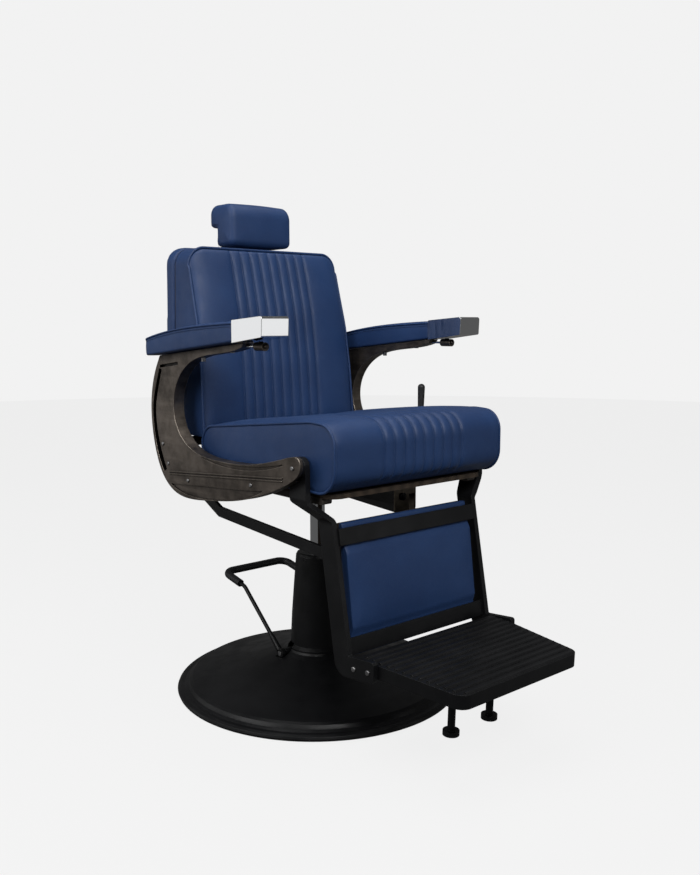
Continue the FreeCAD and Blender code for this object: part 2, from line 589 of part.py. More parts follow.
def footplate():
    front_half = 178
    rear_half = BAR_LOW_OUT - BAR_T - 0.4

    def outline(inset):
        back = PLATE_REAR - inset
        shoulder = PLATE_REAR - 58
        nose = PLATE_FRONT + inset
        wide = rear_half - inset
        tip = front_half - inset
        corners = [(-wide, back, 3), (-wide, shoulder, 60), (-tip, nose, 26 - inset)]
        corners += [(tip, nose, 26 - inset), (wide, shoulder, 60), (wide, back, 3)]
        return corners

    tray = slab_z(outline(0), -28, 0).cut(slab_z(outline(4), -30, -4))
    ribs = []
    for k in range(13):
        y = PLATE_REAR - 17 - 19.6 * k
        taper = max(0.0, (PLATE_REAR - 58 - y) / (PLATE_REAR - 58 - PLATE_FRONT))
        half = rear_half - 7 - taper * (rear_half - front_half)
        if k == 12:
            half -= 8
        ribs.append(rod_x(-half, half, y, -0.5, 4.5).cut(box(-210, 210, y - 9, y + 9, -9, -2)))
    bosses = [rod_z(-26, -3, s * TIP_FOOT[0], TIP_FOOT[1], 13) for s in (-1, 1)]
    plate = fuse(tray, *ribs, *bosses)
    for s in (-1, 1):
        plate = plate.cut(rod_z(-40, -6, s * TIP_FOOT[0], TIP_FOOT[1], 8 + FIT))
    return plate


def place_on_plate(shape):
    """Moves a shape built with the footplate level at z = 0 to the sloping plate."""
    shape.rotate(V(0, PLATE_REAR, 0), V(1, 0, 0), PLATE_SLOPE)
    shape.translate(V(0, 0, PLATE_TOP))
    return shape


def footrest():
    both_sides("footrest_bar", footrest_bar())
    inner = BAR_LOW_OUT - BAR_T
    upper = [(-322, 472, 0), (-328, 438, 0), (-322, 437, 0), (-316, 471, 0)]
    lower = [(-352, 249, 0), (-357, 215, 0), (-351, 214, 0), (-346, 248, 0)]
    export("footrest_upper_strap", slab_x(upper, -inner, inner))
    export("footrest_lower_strap", slab_x(lower, -inner, inner))
    pad = [(-297, 480, 4), (-313, 482.5, 4), (-321, 437, 0), (-334, 424, 8), (-354, 263, 8)]
    pad += [(-345.2, 249, 0), (-350.5, 207, 4), (-331, 204, 4)]
    export("calf_pad", slab_x(pad, -188, 188))
    board = [(-288, 476, 2), (-296.4, 477, 2), (-330, 207, 2), (-322, 206, 2)]
    export("calf_board", slab_x(board, -182, 182))
    export("footplate", place_on_plate(footplate()))
    foot_x, foot_y = TIP_FOOT
    foot = fuse(rod_z(-150, -16, foot_x, foot_y, 8), rod_z(-160, -150, foot_x, foot_y, 17.5))
    both_sides("tip_foot", place_on_plate(foot))
    bolts = []
    for y, z in FOOT_BOLTS:
        for s in (-1, 1):
            bolts.append(button_x(s * BAR_LOW_OUT, y, z, s, 5.5, 3))
    export("footrest_bolts", *bolts)


base()
pump_lever()
lift()
seat_frame()
arms()
recline_lock()
recline_lever()
backrest()
headrest()
links()
footrest()
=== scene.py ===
import math

import bpy
import numpy as np
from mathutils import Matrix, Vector, noise


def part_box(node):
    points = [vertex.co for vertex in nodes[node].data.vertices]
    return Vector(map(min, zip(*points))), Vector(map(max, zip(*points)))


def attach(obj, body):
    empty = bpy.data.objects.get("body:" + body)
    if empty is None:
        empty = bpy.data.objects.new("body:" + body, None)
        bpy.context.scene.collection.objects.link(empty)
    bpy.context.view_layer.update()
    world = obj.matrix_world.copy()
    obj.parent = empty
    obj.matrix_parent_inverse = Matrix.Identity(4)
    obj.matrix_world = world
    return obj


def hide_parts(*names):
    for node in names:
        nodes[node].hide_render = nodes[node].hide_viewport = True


# Looks of the hydraulic barber chair, in metres. The sitter faces -Y, +X is the sitter's left, +Z is up.

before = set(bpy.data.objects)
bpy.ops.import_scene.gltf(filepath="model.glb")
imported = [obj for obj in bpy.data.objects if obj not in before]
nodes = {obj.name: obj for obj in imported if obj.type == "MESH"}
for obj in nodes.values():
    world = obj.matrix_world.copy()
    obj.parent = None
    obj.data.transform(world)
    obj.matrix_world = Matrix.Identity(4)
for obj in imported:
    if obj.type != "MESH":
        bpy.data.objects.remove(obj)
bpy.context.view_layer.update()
scene = bpy.context.scene
SIDES = {"left": 1, "right": -1}

# ---- camera and light ----
CAMERA_AT = (-1.3788, -1.7144, 0.8888)
CAMERA_AZIMUTH = -40.877      # degrees, 0 looks along +Y
CAMERA_PITCH = 7.176          # degrees below the horizon
CAMERA_LENS = 37.73           # mm on a 36 mm sensor
BACKDROP = 0.888              # radiance of the plain backdrop
LAMP_AIM = (0, 0, 0.6)
FLOOR_R = 9.0
FLOOR_GLOW = 0.838            # lifts the floor to the backdrop
AMBIENT = 0.10                # radiance of the surroundings as light

# ---- upholstery ----
SEAMS = 9                     # sewn seams across the seat and the back
SEAM_SPAN = 0.230             # from the first seam to the last
PUFF = 0.0030                 # how far a channel stands over its seams
SEAM_SINK = 0.0034            # how deep a seam is pulled in
PIPING_R = 0.0030
SKIN_IN = 0.0035              # the covers start this far inside the CAD cushions, then swell
SEAM_CREASE = 0.55            # how sharp a seam stays under subdivision

# ---- cloth ----
PRESSURE = 4.0
FRAMES = 20
STIFFNESS = 40                # against stretching and squeezing
BENDING = 12


# ---- materials ----
def shader(name, **sockets):
    """A Principled material, its constants set on the shader's own sockets."""
    m = bpy.data.materials.new(name)
    m.use_nodes = True
    principled = m.node_tree.nodes["Principled BSDF"]
    for socket, value in sockets.items():
        principled.inputs[socket.replace("_", " ")].default_value = value
    return m


def node(m, kind, inputs=(), **settings):
    made = m.node_tree.nodes.new("ShaderNode" + kind)
    for key, value in settings.items():
        setattr(made, key, value)
    for key, value in dict(inputs).items():
        if isinstance(value, bpy.types.NodeSocket):
            m.node_tree.links.new(value, made.inputs[key])
        else:
            made.inputs[key].default_value = value
    return made


def feed(m, socket, value):
    m.node_tree.links.new(value, m.node_tree.nodes["Principled BSDF"].inputs[socket])


def place(m, stretch=(1, 1, 1)):
    """Object coordinates, stretched along each axis."""
    at = node(m, "TexCoord").outputs["Object"]
    if stretch == (1, 1, 1):
        return at
    return node(m, "Mapping", {"Vector": at, "Scale": stretch}).outputs["Vector"]


def grain(m, scale, detail=3.0, at=None, rough=0.55):
    vector = place(m) if at is None else at
    inputs = {"Vector": vector, "Scale": scale, "Detail": detail, "Roughness": rough}
    return node(m, "TexNoise", inputs).outputs["Fac"]


def ramp(m, value, low, high, start=0.0, end=1.0):
    """The value between start and end, mapped smoothly to low and high."""
    inputs = {"Value": value, "From Min": start, "From Max": end, "To Min": low, "To Max": high}
    return node(m, "MapRange", inputs, interpolation_type="SMOOTHSTEP").outputs["Result"]


def mixed(m, share, first, second):
    made = node(m, "Mix", data_type="RGBA")
    for socket, value in ((made.inputs[0], share), (made.inputs[6], first), (made.inputs[7], second)):
        if isinstance(value, bpy.types.NodeSocket):
            m.node_tree.links.new(value, socket)
        else:
            socket.default_value = value
    return made.outputs[2]


def math_node(m, kind, a, b=0.0):
    return node(m, "Math", {0: a, 1: b}, operation=kind).outputs[0]


def bump(m, height, distance, strength=1.0, normal=None):
    inputs = {"Height": height, "Distance": distance, "Strength": strength}
    if normal is not None:
        inputs["Normal"] = normal
    return node(m, "Bump", inputs).outputs["Normal"]


def worn_edge(m, radius, width=0.35):
    """0 on flat faces, 1 along edges, and the rounded normal that goes with it."""
    rounded = node(m, "Bevel", {"Radius": radius}, samples=6).outputs["Normal"]
    flat = node(m, "NewGeometry").outputs["Normal"]
    alike = node(m, "VectorMath", {0: rounded, 1: flat}, operation="DOT_PRODUCT").outputs["Value"]
    return ramp(m, alike, 1.0, 0.0, 1.0 - width, 1.0), rounded


def leather():
    m = shader("navy_leather", Roughness=0.46, Specular_IOR_Level=0.34, Sheen_Weight=0.06, Sheen_Roughness=0.4)
    m.node_tree.nodes["Principled BSDF"].inputs["Sheen Tint"].default_value = (0.35, 0.5, 0.9, 1)
    cloudy = grain(m, 7.0, 4.0)
    fine = grain(m, 260.0, 2.0)
    deep = mixed(m, ramp(m, cloudy, 0, 1, 0.3, 0.7), (0.0120, 0.0345, 0.108, 1), (0.0158, 0.0440, 0.132, 1))
    base = mixed(m, ramp(m, fine, 0.0, 0.35, 0.5, 0.8), deep, (0.026, 0.060, 0.158, 1))
    feed(m, "Base Color", base)
    feed(m, "Roughness", ramp(m, grain(m, 38.0, 3.0), 0.41, 0.53, 0.3, 0.7))
    cells = node(m, "TexVoronoi", {"Vector": place(m), "Scale": 620.0}, feature="DISTANCE_TO_EDGE")
    pebbles = ramp(m, cells.outputs["Distance"], 0.0, 1.0, 0.0, 0.22)
    creases = bump(m, grain(m, 22.0, 5.0, rough=0.62), 0.0016, 0.35)
    skin_bump = bump(m, pebbles, 0.00014, 0.55, creases)
    feed(m, "Normal", bump(m, grain(m, 1500.0, 2.0), 0.00006, 0.4, skin_bump))
    return m


def powder_coat(name, low, high, roughness, radius=0.0012):
    """Satin paint: orange peel, faint dust and edges worn a little lighter."""
    m = shader(name, Specular_IOR_Level=0.24)
    edge, rounded = worn_edge(m, radius)
    body = mixed(m, ramp(m, grain(m, 9.0, 5.0), 0, 1, 0.35, 0.7), (*low, 1), (*high, 1))
    rubbed = [min(1.0, 2.2 * c + 0.006) for c in high]
    wear = math_node(m, "MULTIPLY", edge, ramp(m, grain(m, 60.0, 3.0), 0.15, 0.75, 0.4, 0.65))
    feed(m, "Base Color", mixed(m, wear, body, (*rubbed, 1)))
    feed(m, "Roughness", ramp(m, grain(m, 24.0, 6.0), roughness - 0.05, roughness + 0.09, 0.3, 0.7))
    feed(m, "Normal", bump(m, grain(m, 900.0, 2.0), 0.00009, 0.5, rounded))
    return m


def cast_bronze():
    """Dark patinated casting, polished along its edges, with painted shade darkening its recesses."""
    m = shader("bronze_casting", Metallic=0.92)
    edge, rounded = worn_edge(m, 0.0022, 0.30)
    cloudy = ramp(m, grain(m, 16.0, 7.0, rough=0.66), 0, 1, 0.32, 0.68)
    brushed = grain(m, 5.0, 6.0, place(m, (1, 1, 14)))
    body = mixed(m, cloudy, (0.060, 0.050, 0.042, 1), (0.150, 0.127, 0.108, 1))
    streaked = mixed(m, ramp(m, brushed, 0.0, 0.45, 0.45, 0.75), body, (0.22, 0.188, 0.16, 1))
    rubbed = math_node(m, "MULTIPLY", edge, ramp(m, grain(m, 45.0, 3.0), 0.55, 1.0, 0.35, 0.6))
    polished = mixed(m, rubbed, streaked, (0.62, 0.54, 0.46, 1))
    # Painted shade: ambient occlusion turns the recesses, ledges and flute floors near black in the base colour.
    painted_recess_shade = node(m, "AmbientOcclusion", {"Distance": 0.028}, samples=6).outputs["AO"]
    feed(m, "Base Color", mixed(m, ramp(m, painted_recess_shade, 0, 1, 0.5, 0.95), (0.012, 0.010, 0.009, 1), polished))
    satin = ramp(m, grain(m, 70.0, 5.0), 0.36, 0.52, 0.3, 0.7)
    feed(m, "Roughness", math_node(m, "SUBTRACT", satin, math_node(m, "MULTIPLY", rubbed, 0.12)))
    hammered = bump(m, grain(m, 120.0, 4.0), 0.0005, 0.35, rounded)
    feed(m, "Normal", bump(m, grain(m, 1100.0, 2.0), 0.00008, 0.5, hammered))
    return m


def chrome():
    m = shader("chrome", Metallic=1.0, Base_Color=(0.86, 0.87, 0.88, 1))
    _, rounded = worn_edge(m, 0.0016)
    smudge = ramp(m, grain(m, 28.0, 5.0), 0.05, 0.12, 0.35, 0.7)
    feed(m, "Roughness", smudge)
    scratches = grain(m, 30.0, 3.0, place(m, (1, 40, 4)))
    feed(m, "Normal", bump(m, scratches, 0.00004, 0.12, rounded))
    return m


def bare_steel(name, low, high, roughness, metallic=0.95):
    m = shader(name, Metallic=metallic)
    edge, rounded = worn_edge(m, 0.0007)
    body = mixed(m, ramp(m, grain(m, 40.0, 5.0), 0, 1, 0.3, 0.7), (*low, 1), (*high, 1))
    bright = [min(1.0, 1.7 * c) for c in high]
    feed(m, "Base Color", mixed(m, math_node(m, "MULTIPLY", edge, 0.7), body, (*bright, 1)))
    feed(m, "Roughness", ramp(m, grain(m, 90.0, 5.0), roughness - 0.06, roughness + 0.10, 0.3, 0.7))
    turned = grain(m, 60.0, 4.0, place(m, (14, 1, 1)))
    feed(m, "Normal", bump(m, turned, 0.00008, 0.4, rounded))
    return m


def plywood():
    """Plywood under a dark stain."""
    m = shader("plywood", Specular_IOR_Level=0.25)
    rings = node(m, "TexWave", {"Vector": place(m, (1, 6, 1)), "Scale": 9.0, "Distortion": 7.0, "Detail": 3.0})
    colour = mixed(m, rings.outputs["Fac"], (0.030, 0.022, 0.016, 1), (0.055, 0.040, 0.028, 1))
    feed(m, "Base Color", colour)
    feed(m, "Roughness", ramp(m, grain(m, 80.0), 0.55, 0.75))
    feed(m, "Normal", bump(m, grain(m, 140.0, 4.0, place(m, (1, 12, 1))), 0.0002, 0.5))
    return m


def rubber():
    m = shader("black_rubber", Specular_IOR_Level=0.4)
    feed(m, "Base Color", mixed(m, grain(m, 50.0, 4.0), (0.007, 0.007, 0.008, 1), (0.018, 0.018, 0.020, 1)))
    feed(m, "Roughness", ramp(m, grain(m, 110.0, 3.0), 0.42, 0.60, 0.3, 0.7))
    feed(m, "Normal", bump(m, grain(m, 700.0, 3.0), 0.00012, 0.6))
    return m


def foam():
    m = shader("foam", Roughness=0.9, Specular_IOR_Level=0.1)
    feed(m, "Base Color", mixed(m, grain(m, 300.0), (0.62, 0.55, 0.36, 1), (0.75, 0.68, 0.48, 1)))
    feed(m, "Normal", bump(m, grain(m, 900.0), 0.0004, 0.8))
    return m


def thread():
    m = shader("navy_thread", Roughness=0.62, Specular_IOR_Level=0.3)
    feed(m, "Base Color", mixed(m, grain(m, 900.0), (0.010, 0.022, 0.062, 1), (0.022, 0.045, 0.11, 1)))
    feed(m, "Normal", bump(m, grain(m, 2600.0), 0.0001, 0.7))
    return m


def paint_frame():
    """Every carried-over CAD node takes the finish of its material slot."""
    black = ((0.0048, 0.0050, 0.0056), (0.0078, 0.0080, 0.0088))
    finishes = {
        "black_steel": powder_coat("black_powder_coat", *black, 0.36),
        "frame_steel": powder_coat("frame_paint", (0.075, 0.066, 0.058), (0.11, 0.097, 0.085), 0.42),
        "raw_steel": bare_steel("raw_steel", (0.20, 0.20, 0.21), (0.34, 0.335, 0.33), 0.36),
        "zinc_steel": bare_steel("zinc_steel", (0.085, 0.072, 0.056), (0.15, 0.128, 0.10), 0.42),
        "black_cylinder": powder_coat("black_enamel", (0.006, 0.006, 0.007), (0.010, 0.010, 0.011), 0.22),
        "chrome": chrome(),
        "bronze_casting": cast_bronze(),
        "navy_leather": leather(),
        "foam": foam(),
        "plywood": plywood(),
        "black_rubber": rubber(),
    }
    for part in nodes.values():
        for slot in part.material_slots:
            slot.material = finishes[slot.material.name.split(".")[0]]
    return finishes


# ---- mesh helpers ----
def outline(corners, count, inset=0.0):
    """Points evenly spaced round a polygon with rounded corners (a, b, radius), as complex numbers."""
    line = []
    for i, (a, b, r) in enumerate(corners):
        here = complex(a, b)
        back = complex(*corners[i - 1][:2]) - here
        ahead = complex(*corners[(i + 1) % len(corners)][:2]) - here
        back, ahead = back / abs(back), ahead / abs(ahead)
        half = abs(np.angle(ahead / back)) / 2
        centre = here + (back + ahead) / abs(back + ahead) * r / math.sin(half)
        start = here + back * r / math.tan(half) - centre
        turn = np.angle((here + ahead * r / math.tan(half) - centre) / start) if r else 0.0
        steps = 16 if r else 1
        line += [centre + start * np.exp(1j * turn * k / steps) for k in range(steps + 1)]
    line = np.array(line + line[:1])
    length = np.concatenate([[0], np.cumsum(abs(np.diff(line)))])
    at = np.linspace(0, length[-1], count, endpoint=False)
    even = np.interp(at, length, line.real) + 1j * np.interp(at, length, line.imag)
    run = np.roll(even, -1) - np.roll(even, 1)
    area = np.sum(np.conj(even) * np.roll(even, -1)).imag
    return even + inset * math.copysign(1, area) * 1j * run / abs(run)


def inward(points):
    """Unit vectors into a closed outline of complex points."""
    run = np.roll(points, -1) - np.roll(points, 1)
    area = np.sum(np.conj(points) * np.roll(points, -1)).imag
    return math.copysign(1, area) * 1j * run / abs(run)


def mesh_piece(name, verts, faces, body, material):
    mesh = bpy.data.meshes.new(name)
    mesh.from_pydata([tuple(v) for v in verts], [], faces)
    mesh.update()
    mesh.shade_smooth()
    mesh.materials.append(material)
    piece = bpy.data.objects.new(name, mesh)
    scene.collection.objects.link(piece)
    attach(piece, body)
    return piece


def skin(rings, bulge, shrink=(0.94, 0.82, 0.64, 0.42, 0.2)):
    """Vertices and faces of a closed form over a row of rings; each end is closed by shrinking rings."""
    rings = [np.array(r, float) for r in rings]

    def end(ring, beside):
        centre = ring.mean(0)
        out = centre - beside.mean(0)
        out = out / np.linalg.norm(out)
        caps = [centre + (ring - centre) * s + out * bulge * (1 - s ** 3) for s in shrink]
        return caps, centre + out * bulge

    first, first_tip = end(rings[0], rings[1])
    last, last_tip = end(rings[-1], rings[-2])
    rows = first[::-1] + rings + last
    n = len(rings[0])
    verts = [v for row in rows for v in row] + [first_tip, last_tip]
    tip = len(rows) * n
    faces = []
    for i in range(len(rows) - 1):
        for j in range(n):
            k = (j + 1) % n
            faces.append((i * n + j, i * n + k, (i + 1) * n + k, (i + 1) * n + j))
    for j in range(n):
        k = (j + 1) % n
        faces.append((k, j, tip))
        faces.append(((len(rows) - 1) * n + j, (len(rows) - 1) * n + k, tip + 1))
    a, b, c = (np.array(verts[v]) for v in faces[len(shrink) * n][:3])
    if np.dot(np.cross(b - a, c - a), (a + b) / 2 - rings[0].mean(0)) < 0:
        faces = [f[::-1] for f in faces]
    return verts, faces, len(shrink) * n


def tube(name, path, radius, closed, body, material, sides=10):
    """Round bead of leather along a path."""
    path = [Vector(p) for p in path]
    n = len(path)
    verts, faces = [], []
    up = None
    for i, p in enumerate(path):
        ahead = path[(i + 1) % n] if closed or i < n - 1 else p
        behind = path[i - 1] if closed or i > 0 else p
        run = (ahead - behind).normalized()
        if up is None:
            up = run.orthogonal().normalized()
        up = (up - run * up.dot(run)).normalized()
        side = run.cross(up)
        for k in range(sides):
            angle = 2 * math.pi * k / sides
            verts.append(p + radius * (math.cos(angle) * up + math.sin(angle) * side))
    twist = 0
    if closed:
        gaps = [(verts[(n - 1) * sides] - verts[k]).length for k in range(sides)]
        twist = gaps.index(min(gaps))
    for i in range(n if closed else n - 1):
        shift = twist if i == n - 1 else 0
        for k in range(sides):
            a, b = i * sides + k, i * sides + (k + 1) % sides
            m = (i + 1) % n * sides
            faces.append((a, b, m + (k + 1 + shift) % sides, m + (k + shift) % sides))
    if not closed:
        faces.append(tuple(range(sides))[::-1])
        faces.append(tuple((n - 1) * sides + k for k in range(sides)))
    return mesh_piece(name, verts, faces, body, material)


def stitches(name, path, pitch, body, material, width=0.0007):
    """A row of short thread stitches laid along a path."""
    path = [np.array(p, float) for p in path]
    steps = [np.linalg.norm(b - a) for a, b in zip(path, path[1:])]
    length = np.concatenate([[0], np.cumsum(steps)])
    line = np.array(path)

    def at(s):
        return Vector([np.interp(s, length, line[:, k]) for k in range(3)])

    verts, faces = [], []
    s = pitch / 2
    while s + pitch * 0.7 < length[-1]:
        a, b = at(s), at(s + pitch * 0.7)
        run = (b - a).normalized()
        up = run.orthogonal().normalized()
        side = run.cross(up)
        first = len(verts)
        for share, size in ((0, 0.35), (0.18, 1.0), (0.5, 1.15), (0.82, 1.0), (1, 0.35)):
            for k in range(6):
                angle = math.pi * k / 3
                offset = width * size * (math.cos(angle) * up + math.sin(angle) * side)
                verts.append(a + (b - a) * share + offset)
        for i in range(4):
            for k in range(6):
                p, q = first + i * 6 + k, first + i * 6 + (k + 1) % 6
                faces.append((p, q, q + 6, p + 6))
        faces.append(tuple(first + k for k in range(6))[::-1])
        faces.append(tuple(first + 24 + k for k in range(6)))
        s += pitch
    return mesh_piece(name, verts, faces, body, material)


def swell(piece, pinned, cap):
    """Cloth simulation: the cover swells from inside while the pinned points hold it.

    No point moves further than cap.
    """
    mesh = piece.data
    rest = np.array([v.co for v in mesh.vertices])
    group = piece.vertex_groups.new(name="sewn")
    group.add([int(v) for v in pinned], 1.0, "REPLACE")
    cloth = piece.modifiers.new("cover", "CLOTH")
    settings = cloth.settings
    settings.vertex_group_mass = "sewn"
    settings.use_pressure = True
    settings.uniform_pressure_force = PRESSURE
    settings.mass = 0.3
    settings.tension_stiffness = STIFFNESS
    settings.compression_stiffness = STIFFNESS
    settings.bending_stiffness = BENDING
    settings.effector_weights.gravity = 0
    cloth.collision_settings.use_collision = False
    cloth.point_cache.frame_start = 1
    cloth.point_cache.frame_end = FRAMES
    for f in range(1, FRAMES + 1):
        scene.frame_set(f)
    swollen = piece.evaluated_get(bpy.context.evaluated_depsgraph_get()).to_mesh()
    moved = np.array([v.co for v in swollen.vertices]) - rest
    piece.modifiers.remove(cloth)
    piece.vertex_groups.clear()
    length = np.linalg.norm(moved, axis=1)
    moved *= np.minimum(1.0, cap / np.maximum(length, 1e-9))[:, None]
    mesh.vertices.foreach_set("co", (rest + moved).astype(np.float32).ravel())
    mesh.update()
    scene.frame_set(1)


def finer(piece):
    """One level of subdivision."""
    smoother = piece.modifiers.new("smooth cover", "SUBSURF")
    smoother.levels = 1
    smoother.render_levels = 1


def crease(piece, first, count, sewn):
    """Holds the seams across the cover sharp under subdivision."""
    wanted = set()
    for i in sewn:
        for j in range(count):
            row = first + i * count
            wanted.add(tuple(sorted((row + j, row + (j + 1) % count))))
    values = piece.data.attributes.new("crease_edge", "FLOAT", "EDGE")
    for edge in piece.data.edges:
        if tuple(sorted(edge.vertices)) in wanted:
            values.data[edge.index].value = SEAM_CREASE


def seam_places():
    return [SEAM_SPAN * (k / (SEAMS - 1) - 0.5) for k in range(SEAMS)]


def columns(half, seams, step=0.010):
    """Places across the cover, closer together at the seams. Returns them and which ones are seams."""
    edges = [-half, *seams, half]
    places = []
    for a, b in zip(edges, edges[1:]):
        count = max(7, round((b - a) / step))
        for k in range(count):
            t = k / count
            places.append(a + (b - a) * (t - 0.72 * math.sin(2 * math.pi * t) / (2 * math.pi)))
    places.append(half)
    sewn = [min(range(len(places)), key=lambda i: abs(places[i] - s)) for s in seams]
    return places, sewn


def relief(x, half, seams):
    """Height of the cover over its seams: a soft roll in each channel, a wide crown either side."""
    edges = [-half, *seams, half]
    for a, b in zip(edges, edges[1:]):
        if a <= x <= b:
            if b - a < SEAM_SPAN / (SEAMS - 1) * 1.5:
                u = 2 * (x - a) / (b - a) - 1
                return PUFF * (1 - abs(u) ** 2.6)
            from_seam = min(abs(x - s) for s in seams)
            from_edge = half - abs(x)
            return PUFF * (1 - math.exp(-from_seam / 0.007)) * (1 - math.exp(-from_edge / 0.010))
    return 0.0


def smooth(value, low, high):
    t = min(1.0, max(0.0, (value - low) / (high - low)))
    return t * t * (3 - 2 * t)


def pucker(s, seam, near):
    """Small gathers across a seam, stronger close to it."""
    coarse = noise.noise(Vector((s * 95, seam * 7.3, 0.5)))
    fine = noise.noise(Vector((s * 210, seam * 3.1, 4.2)))
    return 0.00018 * (coarse + 0.6 * fine) * math.exp(-near / 0.006)


def caps(verts, first, body_count):
    """The points that close both ends of a skin."""
    return [*range(first), *range(first + body_count, len(verts))]


# ---- soft parts ----
def seat(finishes):
    """Seat cushion: plain side panels with piping, and a channelled cover that rolls over the front."""
    lo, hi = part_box("seat_cushion")
    half = hi.x
    front, rear, floor = lo.y, hi.y, lo.z
    corners = [(rear, floor + 0.035, 0.036), (rear, floor + 0.105, 0.050), (front + 0.079, floor + 0.149, 0.150)]
    corners += [(front, floor + 0.145, 0.048), (front, floor, 0.054), (rear - 0.076, floor, 0.060)]
    count = 176
    line = outline(corners, count, SKIN_IN)
    into = inward(line)
    seams = seam_places()
    places, sewn = columns(half - SKIN_IN, seams)
    lengths = np.concatenate([[0], np.cumsum(abs(np.diff(line)))])
    rings = []
    for x in places:
        near = min(abs(x - s) for s in seams)
        edge = half - SKIN_IN - abs(x)
        ring = []
        for j in range(count):
            lift = relief(x, half - SKIN_IN, seams) + 0.004 * (1 - (x / half) ** 2)
            lift += pucker(lengths[j], round(x / 0.0287), near)
            show = smooth(-into[j].imag, -0.75, -0.35)
            push = lift * show - SEAM_SINK * show * math.exp(-near / 0.0016)
            push -= 0.0030 * math.exp(-edge / 0.0022)
            point = line[j] - into[j] * push
            ring.append((x, point.real, point.imag))
        rings.append(ring)
    verts, faces, first = skin(rings, 0.004)
    piece = mesh_piece("seat_cover", verts, faces, "seat", finishes["navy_leather"])
    pinned = [first + i * count + j for i in [*sewn, 0, len(places) - 1] for j in range(count)]
    pinned += [first + i * count + j for i in range(len(places)) for j in range(count) if into[j].imag > 0.8]
    pinned += caps(verts, first, len(places) * count)
    swell(piece, pinned, cap=0.006)
    crease(piece, first, count, sewn)
    finer(piece)
    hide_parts("seat_cushion")
    for side, s in SIDES.items():
        path = [(s * (half - SKIN_IN - 0.0004), p.real, p.imag) for p in line + into * 0.0004]
        tube(side + "_seat_piping", path, PIPING_R, True, "seat", finishes["navy_leather"])


def back(finishes):
    """Upholstered back: channelled front face, piped all round, over a plain boxing."""
    lo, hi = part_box("back_cushion")
    wide = hi.x
    narrow = wide - 0.008
    low, top = lo.z, hi.z
    front = lo.y
    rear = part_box("back_rear_panel")[0].y - 0.0006
    corners = [(front, low, 0.010), (front + 0.013, low + 0.175, 0.400), (front + 0.029, low + 0.299, 0.400)]
    corners += [(front + 0.068, top, 0.016), (rear, top, 0.004), (rear, low, 0.004)]
    count = 190
    line = outline(corners, count, SKIN_IN)
    into = inward(line)
    seams = seam_places()
    half = wide - SKIN_IN
    round_r = 0.045
    steps = 14
    places, sewn = columns(half, seams)
    inner = [x for x in places if abs(x) < half - round_r - 0.002]
    shoulder = [half - round_r + round_r * math.sin(math.pi / 2 * k / steps) for k in range(steps + 1)]
    places = [-x for x in shoulder[::-1]] + inner + shoulder
    sewn = [min(range(len(places)), key=lambda i: abs(places[i] - s)) for s in seams]
    corner = int(np.argmin(abs(line - complex(front + 0.068, top))))
    foot = int(np.argmin(abs(line - complex(front, low))))
    lengths = np.concatenate([[0], np.cumsum(abs(np.diff(line)))])

    def settle(x, point):
        """Narrows towards the top and rounds the two top corners."""
        over = max(0.0, abs(x) - (half - round_r))
        drop = round_r - math.sqrt(max(0.0, round_r ** 2 - over ** 2))
        share = (point.imag - low) / (top - low)
        taper = 1 + (narrow / wide - 1) * share
        return (x * taper, point.real, point.imag - drop * smooth(share, 0.0, 1.0) ** 0.7)

    rings = []
    for x in places:
        near = min(abs(x - s) for s in seams)
        edge = half - abs(x)
        ring = []
        for j in range(count):
            face = smooth(into[j].real, 0.55, 0.9)
            rim = abs(lengths[j] - lengths[corner])
            sole = abs(lengths[j] - lengths[foot])
            tuck = (1 - math.exp(-rim / 0.012)) * (1 - math.exp(-sole / 0.012))
            crown = 0.006 * (1 - (x / half) ** 4) * tuck
            lift = (relief(x, half, seams) + pucker(lengths[j], round(x / 0.0287), near)) * tuck + crown
            push = lift * face - SEAM_SINK * face * tuck * math.exp(-near / 0.0016)
            push -= 0.0030 * face * math.exp(-edge / 0.0022) + 0.0028 * math.exp(-rim / 0.0025)
            ring.append(settle(x, line[j] - into[j] * push))
        rings.append(ring)
    verts, faces, first = skin(rings, 0.002)
    piece = mesh_piece("back_cover", verts, faces, "backrest", finishes["navy_leather"])
    pinned = [first + i * count + j for i in [*sewn, 0, len(places) - 1] for j in range(count)]
    hold = [j for j in range(count) if into[j].real < 0.3 or abs(j - corner) < 2]
    pinned += [first + i * count + j for i in range(len(places)) for j in hold]
    pinned += caps(verts, first, len(places) * count)
    swell(piece, pinned, cap=0.005)
    crease(piece, first, count, sewn)
    finer(piece)
    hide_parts("back_cushion")

    up = [j % count for j in (range(foot, corner + 1) if foot < corner else range(foot, corner - 1, -1))]
    path = [settle(-half, line[j] - into[j] * 0.0010) for j in up]
    path = [(x - 0.0008, y, z) for x, y, z in path]
    across = [settle(x, line[corner] - into[corner] * 0.0014) for x in places[1:-1]]
    other = [(-x, y, z) for x, y, z in path[::-1]]
    hide = finishes["navy_leather"]
    tube("back_piping", path + across + other, PIPING_R, False, "backrest", hide)


